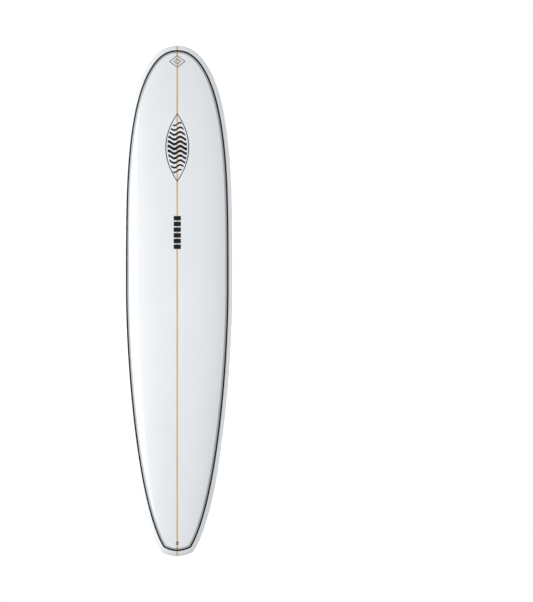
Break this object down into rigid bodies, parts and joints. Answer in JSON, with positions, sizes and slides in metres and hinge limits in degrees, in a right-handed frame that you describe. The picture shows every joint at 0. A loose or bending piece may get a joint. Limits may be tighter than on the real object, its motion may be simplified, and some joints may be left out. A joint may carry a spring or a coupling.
{
  "type": "longboard surfboard",
  "caption": "Long round-nosed surfboard with a squash tail, wooden stringer, pinlines, leash plug, side fin plugs and a long centre fin box; fins and leash not fitted.",
  "frame": {"origin": "on the stringer line at mid length, on the bottom surface, where a rack would hold the board", "axes": "+Z along the board to the nose, +Y out of the bottom, -Y out of the deck, +X to starboard"},
  "size_m": [0.597, 0.1264, 2.7429],
  "materials": {
    "foam": "white closed-cell polyurethane foam, sanded",
    "stringer_wood": "pale softwood strip under the laminate",
    "laminate": "white board under clear glass-fibre laminate with a polished gloss coat",
    "black_ink": "black line or print under the gloss coat",
    "grey_ink": "soft grey print under the gloss coat",
    "red_ink": "dark red print under the gloss coat",
    "label_paper": "thin white paper laminated under resin",
    "plug_plastic": "dark grey glass-filled nylon, fine moulded grain, sanded flush",
    "cup_plastic": "white moulded plastic",
    "box_plastic": "dark grey moulded plastic, under the laminate except for its slot",
    "screw_steel": "small dark stainless grub screw",
    "stainless": "plain stainless steel"
  },
  "bodies": {
    "board": {"bottom_bar_block": "black_ink", "bottom_glass": "laminate", "bottom_nose_mark": "grey_ink", "bottom_pinline": "black_ink", "bottom_wave_badge": "black_ink", "deck_bar_block": "black_ink", "deck_glass": "laminate", "deck_nose_mark": "grey_ink", "deck_pinline": "black_ink", "deck_shade_line": "grey_ink", "deck_wave_badge": "black_ink", "fin_box": "box_plastic", "foam_port": "foam", "foam_starboard": "foam", "grey_dash": "grey_ink", "leash_plug_bar": "stainless", "leash_plug_cup": "cup_plastic", "red_dash": "red_ink", "side_plug_port": "plug_plastic", "side_plug_starboard": "plug_plastic", "size_label": "label_paper", "stringer": "stringer_wood", "tail_mark": "grey_ink"},
    "fin_plate": {"fin_screw_plate": "stainless"},
    "grub_screw_starboard_front": {"grub_screw_starboard_front": "screw_steel"},
    "grub_screw_starboard_rear": {"grub_screw_starboard_rear": "screw_steel"},
    "grub_screw_port_front": {"grub_screw_port_front": "screw_steel"},
    "grub_screw_port_rear": {"grub_screw_port_rear": "screw_steel"}
  },
  "joints": [
    {"name": "fin_plate_slide", "type": "slide", "parent": "board", "child": "fin_plate", "axis": [0, 0.1025, 0.9947], "range_m": [0, 0.1685]},
    {"name": "starboard_front_screw_travel", "type": "slide", "parent": "board", "child": "grub_screw_starboard_front", "axis": [0.5728, -0.8139, 0.0972], "range_m": [0, 0.003]},
    {"name": "starboard_rear_screw_travel", "type": "slide", "parent": "board", "child": "grub_screw_starboard_rear", "axis": [-0.5728, -0.8189, 0.0374], "range_m": [0, 0.003]},
    {"name": "port_front_screw_travel", "type": "slide", "parent": "board", "child": "grub_screw_port_front", "axis": [0.5728, -0.8189, 0.0374], "range_m": [0, 0.003]},
    {"name": "port_rear_screw_travel", "type": "slide", "parent": "board", "child": "grub_screw_port_rear", "axis": [-0.5728, -0.8139, 0.0972], "range_m": [0, 0.003]}
  ]
}
